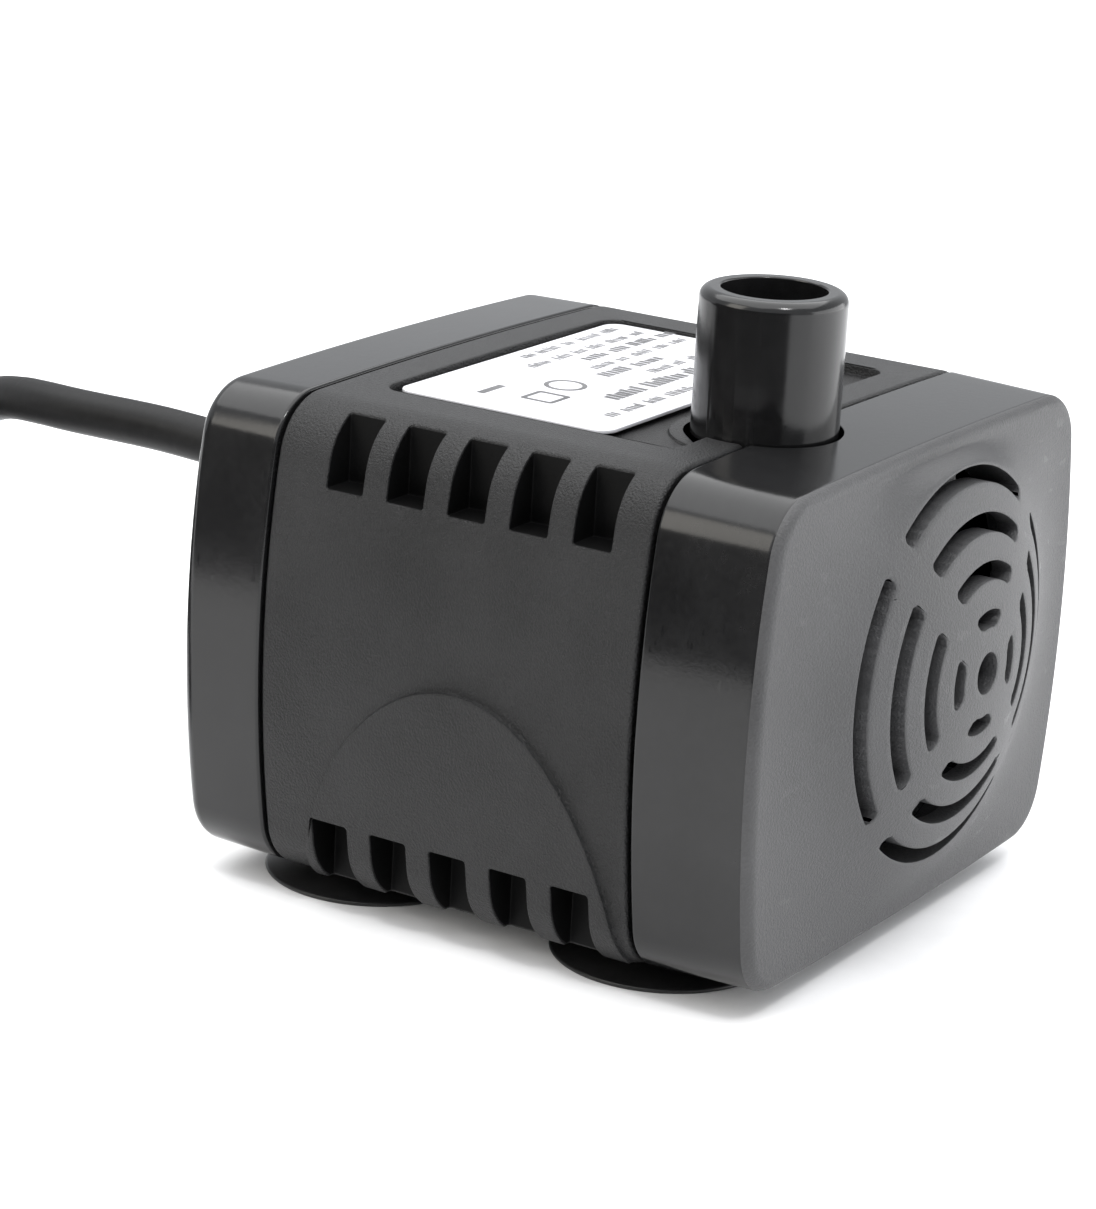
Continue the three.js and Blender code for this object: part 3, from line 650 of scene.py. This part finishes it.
# Where the suction cups stand and how big they are.
FEET = {
    "suction_cup_front_left": (-12.3, -10.7),
    "suction_cup_front_right": (12.3, -10.7),
    "suction_cup_rear_left": (-12.3, 12.9),
    "suction_cup_rear_right": (12.3, 12.9),
}
CUP_RADIUS = 7.6
CUP_STEM = 1.6  # the stem's radius
CUP_STEM_TOP = 3.7


def arched_panels():
    """The slightly raised panels at the foot of both long sides: the upper part of an ellipse."""
    raised, from_ends, from_foot = 0.34, 0.5, 0.6
    centre_y, centre_z = -0.2, -2.25
    half_length, half_height = 12.9, 20.7
    steps = 56
    circle = arc(0, 0, 1, 0, 2 * math.pi, steps)[:-1]
    arch = [(half_length * y + centre_y, half_height * z + centre_z) for y, z in circle]
    beyond = HALF_WIDTH + 2
    panels = loft("panels", [[(x, y, z) for y, z in arch] for x in (-beyond, beyond)])
    ends = (CASING_FRONT + from_ends, CASING_BACK - from_ends)
    combine(panels, loft("outside", section_rings([(y, -raised) for y in ends])), "INTERSECT")
    cut(panels, block("underside", (-30, -30, -9), (30, 30, FOOT_Z + from_foot)))
    return panels


def make_casing():
    casing = loft("casing", section_rings(rounded_ends(CASING_FRONT, CASING_BACK, 0.3, 0.3)))
    combine(casing, arched_panels(), "UNION")
    partition_front, partition_back = -6.8, -5
    well_radius, well_end = 7.6, 14.6
    bore_radius, bore_end = 6.4, 10.6
    bush_radius, bush_end = 3.3, 13.2
    pump_radius = 12.9
    motor_places = [(partition_back, CASING_WALL), (CASING_BACK + 1, CASING_WALL)]
    cut(casing, loft("space", section_rings(motor_places)))
    middle = (0, MIDDLE_Z)
    combine(casing, cylinder("well", well_radius, partition_back - 1, well_end, "y", middle, 64), "UNION")
    cut(
        casing,
        cylinder("bore", bore_radius, partition_front - 1, bore_end, "y", middle, 64),
        cylinder("bush_pocket", bush_radius, bore_end - 1, bush_end, "y", middle),
        cylinder("pump_pocket", pump_radius, CASING_FRONT - 1, partition_front, "y", middle, 96),
        outlet_notch(),
        label_recess(),
        corner_slots(),
    )
    sockets = []
    for place in FEET.values():
        sockets.append(cylinder("socket", CUP_STEM + GAP, 0, CUP_STEM_TOP + GAP, "z", place, 32))
    cut(casing, joined("sockets", sockets))
    soften(casing, 0.16)
    dress(casing, textured_plastic, ["motor_casing"])
    # The faces inside the notches get the near-black material: painted shade in the recesses.
    casing.data.materials.append(notch_painted_shade)
    for face in casing.data.polygons:
        face.material_index = 1 if gets_notch_painted_shade(face) else 0
    return casing


def make_rear_cover():
    places = rounded_ends(REAR_COVER_FRONT, REAR_Y, 0.25, 1.1, high_draft=0.12, steps=7)
    cover = loft("back_cover", section_rings(places))
    inside_back = REAR_Y - REAR_WALL
    space = loft("space", section_rings([(REAR_COVER_FRONT - 1, CASING_WALL), (inside_back, CASING_WALL)]))
    hole_radius = 2.8
    hole = cylinder("hole", hole_radius, inside_back - 1, REAR_Y + 1, "y", (0, CORD_Z))
    cut(cover, space, hole)
    soften(cover, 0.2, 3)
    return dress(cover, band_plastic, ["rear_cover"])


def dome_height(radius):
    """How far the domed grille stands ahead of the front face at a distance from its middle."""
    return DOME_RISE - DOME_RADIUS + math.sqrt(DOME_RADIUS**2 - radius**2)


def front_skin_rings():
    """Rings from the dome's middle out to the face's edge and round it to the back of the cover."""
    draft = 0.28
    rim = crowned_outline(draft + FACE_FILLET)
    angles = [math.atan2(z - GRILLE_Z, x) for x, z in rim]
    rings = []
    for radius in (0.4, 1.2, 2, 3, 4, 5, 6, 7, 8, 9, 10, 11, 12, 13, DOME_EDGE):
        y = FRONT_Y - dome_height(radius)
        rings.append([(radius * math.cos(a), y, GRILLE_Z + radius * math.sin(a)) for a in angles])

    start_height = dome_height(DOME_EDGE)
    start_slope = -DOME_EDGE / math.sqrt(DOME_RADIUS**2 - DOME_EDGE**2)
    steps = 10
    for i in range(1, steps + 1):
        t = i / steps
        ring = []
        for (x, z), angle in zip(rim, angles):
            edge_x = DOME_EDGE * math.cos(angle)
            edge_z = GRILLE_Z + DOME_EDGE * math.sin(angle)
            length = math.hypot(x - edge_x, z - edge_z)
            height = start_height * (1 + 2 * t) * (1 - t) ** 2
            height += start_slope * length * t * (1 - t) ** 2
            ring.append((edge_x + (x - edge_x) * t, FRONT_Y - max(height, 0), edge_z + (z - edge_z) * t))
        rings.append(ring)

    sides = rounded_ends(FRONT_Y, COVER_BACK, FACE_FILLET, 0.25, low_draft=draft, steps=7)
    return rings + section_rings(sides[1:])


def ring_slot_cutters():
    """Each ring's four slots between the diagonal spokes, with a little rounding in their corners."""
    low, high = FRONT_Y - DOME_RISE - 1, FRONT_Y + COVER_WALL + 2
    cutters = []
    for inner, outer in RING_SLOTS:
        for quarter in range(4):
            outline = slot_outline(inner, outer, quarter * math.pi / 2)
            cutters.append(prism_y("slot", outline, low, high))
    cutters.append(cylinder("hole", GRILLE_HOLE, low, high, "y", (0, GRILLE_Z), 40))
    return joined("grille_slots", cutters)


def slot_outline(inner, outer, turn):
    """A curved slot whose ends run along the spokes' sides. turn is its middle's direction."""
    rounding = 0.28

    def half_angle(radius, inset):
        return math.pi / 4 - math.asin((SPOKE_HALF + inset) / radius)

    outer_half = half_angle(outer, rounding)
    inner_half = half_angle(inner, rounding)
    steps = max(8, round(outer * 2.4))
    points = arc(0, 0, outer, -outer_half, outer_half, steps)
    end = half_angle(outer - rounding, 0)
    points.append(((outer - rounding) * math.cos(end), (outer - rounding) * math.sin(end)))
    end = half_angle(inner + rounding, 0)
    points.append(((inner + rounding) * math.cos(end), (inner + rounding) * math.sin(end)))
    points += arc(0, 0, inner, inner_half, -inner_half, steps)
    points += [(x, -y) for x, y in reversed(points[steps + 1 : steps + 3])]
    across, along = math.cos(turn), math.sin(turn)
    return [(x * across - y * along, GRILLE_Z + x * along + y * across) for x, y in points]


def make_front_cover():
    cover = loft("grille_cover", front_skin_rings())
    inside_front = FRONT_Y + COVER_WALL
    space = loft("space", section_rings([(inside_front, COVER_WALL), (COVER_BACK + 1, COVER_WALL)]))
    dome_wall, dome_space_edge = 1.5, 13.2
    inner_radius = DOME_RADIUS - dome_wall
    crest = FRONT_Y - DOME_RISE + dome_wall
    profile = []
    for radius in (0.5, 2, 4, 6, 8, 10, 12, dome_space_edge):
        profile.append((radius, crest + inner_radius - math.sqrt(inner_radius**2 - radius**2)))
    profile.append((dome_space_edge, inside_front + 1))
    dome_space = turned("dome_space", profile, "y", (0, GRILLE_Z), 96)
    cut(cover, space, dome_space, ring_slot_cutters(), outlet_notch())
    soften(cover, 0.11)
    # The face gets the lighter material, with painted light from the front right; the band keeps the glossy
    # plastic.
    dress(cover, face_plastic_painted_light, ["front_cover"], "front_cover")
    cover.data.materials.append(band_plastic)
    band_from = FRONT_Y + FACE_FILLET * 0.75
    for face in cover.data.polygons:
        centre = face.center / MM
        outside = face.normal.y > -0.5 and centre.y - SHIFT_Y > band_from
        face.material_index = 1 if outside else 0
    return cover


# ---- The pump head -------------------------------------------------------------------------------


def make_pump_head():
    front, back, front_wall = -18.2, -7.1, 1.3
    drum_radius, chamber_radius, edge = 12.3, 9.2, 0.4
    groove_inner, groove_outer, groove_front = 10.2, 11.6, -8.35
    inlet_inner, inlet_outer = 3.1, 5.4
    boss_back, seat_radius, seat_back = -16.4, 2.3, -15.4
    lip, inner_lip = 0.75, 0.15
    middle = (0, MIDDLE_Z)
    drum = [(drum_radius - edge, front), (drum_radius, front + edge), (drum_radius, back)]
    head = turned("pump_head_moulding", drum, "y", middle, 96)
    profile = [(OUTLET_RADIUS, MIDDLE_Z), (OUTLET_RADIUS, OUTLET_TOP - lip - 3)]
    profile += arc(OUTLET_RADIUS - lip, OUTLET_TOP - lip, lip, 0, math.pi / 2, 8)
    pipe = turned("pipe", profile, "z", OUTLET, 128)
    combine(head, pipe, "UNION")
    bore = [(OUTLET_BORE, MIDDLE_Z), (OUTLET_BORE, OUTLET_TOP - inner_lip)]
    lip_radius = OUTLET_BORE + inner_lip
    bore += arc(lip_radius, OUTLET_TOP - inner_lip, inner_lip, math.pi, math.pi / 2, 5)
    bore.append((lip_radius, OUTLET_TOP + 1))
    cut(
        head,
        cylinder("chamber", chamber_radius, front + front_wall, back + 1, "y", middle, 96),
        turned("bore", bore, "z", OUTLET, 96),
        tube("groove", groove_inner, groove_outer, groove_front, back + 1, "y", middle, 96),
    )
    inlet = tube("inlet", inlet_inner, inlet_outer, front - 1, front + front_wall + 1, "y", middle, 64)
    for degrees in (0, 120, 240):
        cut(inlet, inlet_arm(math.radians(degrees), front, front_wall))
    cut(head, inlet)
    combine(head, cylinder("boss", inlet_inner, front, boss_back, "y", middle), "UNION")
    cut(head, cylinder("bush_seat", seat_radius, front - 1, seat_back, "y", middle))
    soften(head, 0.12)
    return dress(head, gloss_plastic, ["pump_head"])


def inlet_arm(angle, front, front_wall):
    """One of the three arms that carry the bearing across the inlet."""
    half, length = 0.6, 6.4
    outline = [(0, -half), (length, -half), (length, half), (0, half)]
    across, along = math.cos(angle), math.sin(angle)
    place = [(x * across + z * along, MIDDLE_Z - x * along + z * across) for x, z in outline]
    return prism_y("arm", place, front - 2, front + front_wall + 2)


# ---- The label -----------------------------------------------------------------------------------

LABEL_THICKNESS = 0.25
LABEL_TOP = RECESS_FLOOR + GAP + LABEL_THICKNESS
INK_LOW = LABEL_TOP - 0.02
INK_HIGH = LABEL_TOP + 0.012


def make_label():
    width, length, corner, x, y = 27.9, 16.7, 1.3, 0.35, 3.55
    outline = rounded_rectangle(width, length, corner)
    label = prism_z("label", outline, RECESS_FLOOR + GAP, LABEL_TOP, x, y)
    soften(label, 0.06)
    return dress(label, label_film, ["rating_label"])


def make_label_print():
    """Rows of short strokes that stand for small print, and three plain marks."""
    dice = random.Random(4)
    # Each row: how far back, its first and last place along x, and the strokes' height and width.
    rows = (
        (10.2, 0.2, 13.2, 0.9, 0.24),
        (8.3, -1.8, 13.2, 0.9, 0.22),
        (6.6, 2.8, 13.0, 1.05, 0.38),
        (4.9, 1.0, 12.0, 0.9, 0.24),
        (3.1, -0.4, 6.0, 1.2, 0.42),
        (1.4, 3.0, 10.5, 0.9, 0.24),
        (-0.8, -5.6, 5.2, 1.5, 0.46),
        (-3.0, -9.8, 3.6, 0.95, 0.26),
    )
    strokes = []
    for y, start, end, height, width in rows:
        x = start
        while x < end:
            for _ in range(dice.randint(3, 8)):
                tall = height * dice.uniform(0.6, 1.0)
                strokes.append(ink(x, x + width, y, y + tall))
                x += width + dice.uniform(0.08, 0.2)
            x += dice.uniform(0.4, 0.9)
    strokes.append(ink(-10.5, -7.7, 6.8, 7.4))
    ring_at, square_at = (-4.6, 4.0), (-8.4, 3.2)
    ring = tube("ink", 1.15, 1.5, INK_LOW, INK_HIGH, "z", ring_at, 40)
    square = prism_z("ink", rounded_rectangle(2.6, 2.6, 0.3), INK_LOW, INK_HIGH, *square_at)
    cut(square, prism_z("ink", rounded_rectangle(1.9, 1.9, 0.2), LABEL_TOP - 1, LABEL_TOP + 1, *square_at))
    printed = joined("label_print", [*strokes, ring, square])
    printed.data.materials.append(ink_grey)
    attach(printed, "housing")


def ink(x_from, x_to, y_from, y_to):
    return block("ink", (x_from, y_from, INK_LOW), (x_to, y_to, INK_HIGH))


# ---- Feet ----------------------------------------------------------------------------------------


def make_cups():
    top = FOOT_Z - GAP
    edge = 0.16
    # Under the cup from the middle out to its rim, then back over the top and up the stem.
    profile = [(0.3, 0.45), (2.6, 0.40), (5.0, 0.22), (6.7, 0.02), (CUP_RADIUS - edge, 0)]
    profile += arc(CUP_RADIUS - edge, edge, edge, -math.pi / 2, math.pi / 2, 6)[1:]
    profile += [(6.8, 0.42), (5.6, 0.62), (4.4, 0.86), (3.2, top - 0.06), (CUP_STEM + 0.5, top)]
    profile += [(CUP_STEM, top), (CUP_STEM, CUP_STEM_TOP - 0.3), (CUP_STEM - 0.3, CUP_STEM_TOP)]
    for node, place in FEET.items():
        cup = turned(node.replace("suction_cup", "cup"), profile, "z", place, 96)
        smooth(cup, 50)
        dress(cup, cup_rubber, [node])


# ---- The gland, the ties and the plug ------------------------------------------------------------


def make_gland():
    """A rubber bush through the rear wall; its tail has grooves so that it bends with the cord."""
    innermost, neck, flange, edge = 0.4, 2.5, 3.6, 0.1
    flange_thickness, collar_thickness = 0.8, 1.5
    flange_from = REAR_Y - REAR_WALL - GAP - flange_thickness
    flange_to = flange_from + flange_thickness
    collar_from = REAR_Y + GAP
    tail_from = collar_from + collar_thickness
    profile = [(innermost, flange_from), (flange - edge, flange_from), (flange, flange_from + edge)]
    profile += [(flange, flange_to), (neck, flange_to), (neck, collar_from)]
    profile += [(flange - edge, collar_from), (flange, collar_from + edge)]
    profile += [(flange, tail_from - 0.2), (flange - 0.2, tail_from), (3.0, tail_from + edge)]
    ribs, first_radius, taper, groove_depth = 4, 3.05, 0.2, 0.42
    pitch = (GLAND_END - tail_from - 0.8) / ribs
    for i in range(ribs):
        start = tail_from + 0.3 + i * pitch
        radius = first_radius - taper * i
        groove = radius - groove_depth
        profile += [(groove, start), (groove, start + pitch * 0.35), (radius, start + pitch * 0.42)]
        profile += [(radius - 0.03, start + pitch * 0.92), (groove - edge, start + pitch)]
    profile += [(2.25, GLAND_END - 0.3), (2.1, GLAND_END), (innermost, GLAND_END)]
    gland = turned("gland", profile, "y", (0, CORD_Z), 64)
    smooth(gland, 30)
    return dress(gland, soft_rubber, ["cord_gland"])


def make_tie(name, y):
    """A flat band round the coil's section where it crosses a line along x."""
    half_section = 1.5 * COIL_PITCH + CORD_RADIUS
    coil_height = 2 * COIL_PITCH + 2 * CORD_RADIUS + 0.1
    middle_z = COIL_BOTTOM + coil_height / 2
    thickness, half_width, slack = 0.8, 2.5, 0.6
    width, height = 2 * (half_section + slack), coil_height + 2 * GAP
    outer = rounded_rectangle(width + 2 * thickness, height + 2 * thickness, 1.6, 6)
    inner = rounded_rectangle(width, height, 0.8, 6)

    def ring(outline, x):
        return [(COIL.x + x, y + a, middle_z + b) for a, b in outline]

    rings = [ring(outer, -half_width), ring(outer, half_width)]
    rings += [ring(inner, half_width), ring(inner, -half_width)]
    band = loft(f"tie_{name}", rings, closed=True)
    soften(band, 0.2, 3)
    dress(band, tie_band, [f"coil_tie_{name}"])


def plug_section(y, width, height, radius):
    return [(PLUG_X + x, y, PLUG_Z + z) for x, z in rounded_rectangle(width, height, radius, 6)]


def make_plug_grip():
    """A moulded grip that narrows to the cord, with grooves for the fingers across it."""
    front = PLUG_BACK - GRIP_LENGTH
    width, height, corner = 15.4, 7.6, 1.9
    sections = [plug_section(front, 14.4, 6.6, 1.5), plug_section(front + 0.5, width, height, corner)]
    grooves, pitch, first = 4, 1.7, front + 5
    for i in range(grooves):
        y = first + i * pitch
        for offset, sink in ((0, 0), (0.2, 0.55), (0.65, 0.55), (0.85, 0)):
            sections.append(plug_section(y + offset, width - sink, height - sink, corner))
    shoulder, neck_length, neck_width, neck_height, steps = front + 13.5, 5.5, 5.4, 5.0, 8
    sections.append(plug_section(shoulder, width, height, corner))
    for i in range(1, steps + 1):
        share = (1 - math.cos(math.pi * i / steps)) / 2
        across = width - (width - neck_width) * share
        tall = height - (height - neck_height) * share
        rounding = min(corner + 0.6 * share, tall / 2 - 0.1)
        sections.append(plug_section(shoulder + neck_length * i / steps, across, tall, rounding))
    sections.append(plug_section(PLUG_BACK - 0.3, 5.2, 4.8, 2.3))
    sections.append(plug_section(PLUG_BACK, 4.6, 4.2, 2.0))
    grip = loft("plug_body", sections)
    smooth(grip, 38)
    return dress(grip, plug_moulding, ["plug_grip"])


def make_plug_shell():
    length, width, height, wall = 11.8, 12, 4.5, 0.4
    back = PLUG_BACK - GRIP_LENGTH - GAP
    front = back - length
    shell = loft("plug_sleeve", [plug_section(y, width, height, 0.5) for y in (front, back)])
    inner = (width - 2 * wall, height - 2 * wall, 0.3)
    cut(shell, loft("inside", [plug_section(y, *inner) for y in (front - 1, back - 1)]))
    window_from, window_width, window_length = 5.2, 2.2, 2.3
    for x in (-2.9, 2.9):
        low = (PLUG_X + x - window_width / 2, front + window_from, PLUG_Z - height)
        high = (low[0] + window_width, low[1] + window_length, PLUG_Z + height)
        cut(shell, block("window", low, high))
    soften(shell, 0.09)
    dress(shell, plug_steel, ["plug_shell"])
    tongue_low = box_mm("plug_tongue")[0]
    strip_count, pitch, half_width, strip_length = 4, 2.4, 0.55, 7
    strip_low, strip_high = tongue_low.z - 0.06, tongue_low.z + 0.05
    y = tongue_low.y - SHIFT_Y + 0.8
    strips = []
    for i in range(strip_count):
        x = PLUG_X + (i - (strip_count - 1) / 2) * pitch
        far_corner = (x + half_width, y + strip_length, strip_high)
        strips.append(block("strip", (x - half_width, y, strip_low), far_corner))
    contacts = joined("plug_contacts", strips)
    contacts.data.materials.append(plug_contact)
    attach(contacts, "housing")
    return shell, contacts


# ---- Everything in its place ---------------------------------------------------------------------

make_casing()
make_rear_cover()
make_front_cover()
make_pump_head()
make_label()
make_label_print()
make_cups()
make_gland()
make_tie("near", COIL.y - COIL_RADIUS)
make_tie("far", COIL.y + COIL_RADIUS)
grip = make_plug_grip()
sleeve, contacts = make_plug_shell()

cord = make_cord()
dress(cord, cord_sheath, ["power_cord", "cord_coil", "cord_tail"])

INSIDE_LOOKS = {
    "rotor_shaft": ceramic,
    "front_bush": ceramic,
    "rear_bush": soft_rubber,
    "chamber_seal": soft_rubber,
    "front_washer": nylon,
    "rear_washer": nylon,
    "impeller": impeller_plastic,
    "rotor_magnet": ferrite,
    "stator_core": laminated_steel,
    "coil_bobbin_left": nylon,
    "coil_bobbin_right": nylon,
    "coil_winding_left": copper_wire,
    "coil_winding_right": copper_wire,
    "driver_board": circuit_board,
    "driver_chip": chip_resin,
    "hall_sensor": chip_resin,
    "smoothing_capacitor": capacitor_resin,
    "motor_lead_positive": red_wire,
    "motor_lead_negative": black_wire,
    "plug_tongue": plug_moulding,
}
SOFT_EDGED = (
    "impeller",
    "rotor_magnet",
    "rotor_shaft",
    "stator_core",
    "driver_chip",
    "smoothing_capacitor",
    "plug_tongue",
)
for node, look in INSIDE_LOOKS.items():
    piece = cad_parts[node]
    piece.data.materials.clear()
    piece.data.materials.append(look)
    if node in SOFT_EDGED:
        bevel = piece.modifiers.new("soft_edges", "BEVEL")
        bevel.width = 0.12 * MM
        bevel.segments = 2
        bevel.limit_method = "ANGLE"
        bevel.angle_limit = math.radians(50)

# ---- Floor and light -----------------------------------------------------------------------------


def make_floor():
    half = 2500
    corners = [(-half, -half, 0), (half, -half, 0), (half, half, 0), (-half, half, 0)]
    floor = new_object("floor", corners, [(0, 1, 2, 3)])
    floor.data.materials.append(floor_paper)


def face_towards(piece, place, target):
    back = (Vector(place) - Vector(target)).normalized()
    turn = back.to_track_quat("Z", "Y").to_matrix().to_4x4()
    piece.matrix_world = Matrix.Translation(to_row(*place)) @ turn


def soft_light(name, place, size, power, target=(0, 0, 18), colour=(1, 1, 1)):
    lamp = bpy.data.lights.new(name, "AREA")
    lamp.shape = "RECTANGLE"
    lamp.size, lamp.size_y = size[0] * MM, size[1] * MM
    lamp.energy = power
    lamp.color = colour
    made = bpy.data.objects.new(name, lamp)
    bpy.context.scene.collection.objects.link(made)
    face_towards(made, place, target)


def studio_flag(name, place, size, target):
    """A black card that only shows in reflections: it ends the white that the gloss mirrors."""
    card = block(name, (-size[0] / 2, -size[1] / 2, -1), (size[0] / 2, size[1] / 2, 1))
    card.data.materials.append(flag_black)
    face_towards(card, place, target)
    card.visible_camera = False
    card.visible_diffuse = False
    card.visible_shadow = False
    card.visible_transmission = False


make_floor()
world = bpy.data.worlds.new("studio")
bpy.context.scene.world = world
world.use_nodes = True
world.node_tree.nodes["Background"].inputs["Color"].default_value = (0.95, 0.97, 1.0, 1)
world.node_tree.nodes["Background"].inputs["Strength"].default_value = 0.85
soft_light("overhead", (40, 60, 520), (900, 900), 6.2)
soft_light("left_back", (-440, 275, 235), (260, 420), 1.15, colour=(1.0, 0.95, 0.86))
soft_light("high_front", (-170, -236, 440), (70, 70), 0.7)
soft_light("right_front", (170, -235, 70), (420, 130), 0.45, target=(0, -20, 16))
studio_flag("flag_side", (-150, 90, 15), (330, 40), (-23, 0, 15))
# Three round the outlet tube, from in front of it to its left, as the camera sees it.
FLAG_DISTANCE, FLAG_Z = 112, 32
for number, turn in enumerate((0, -38, -76)):
    azimuth = math.radians(211.5 + turn)
    x = OUTLET.x + FLAG_DISTANCE * math.cos(azimuth)
    y = OUTLET.y + FLAG_DISTANCE * math.sin(azimuth)
    studio_flag(f"flag_tube_{number}", (x, y, FLAG_Z), (96, 56), (OUTLET.x, OUTLET.y, FLAG_Z))
bpy.context.scene.view_settings.view_transform = "Standard"
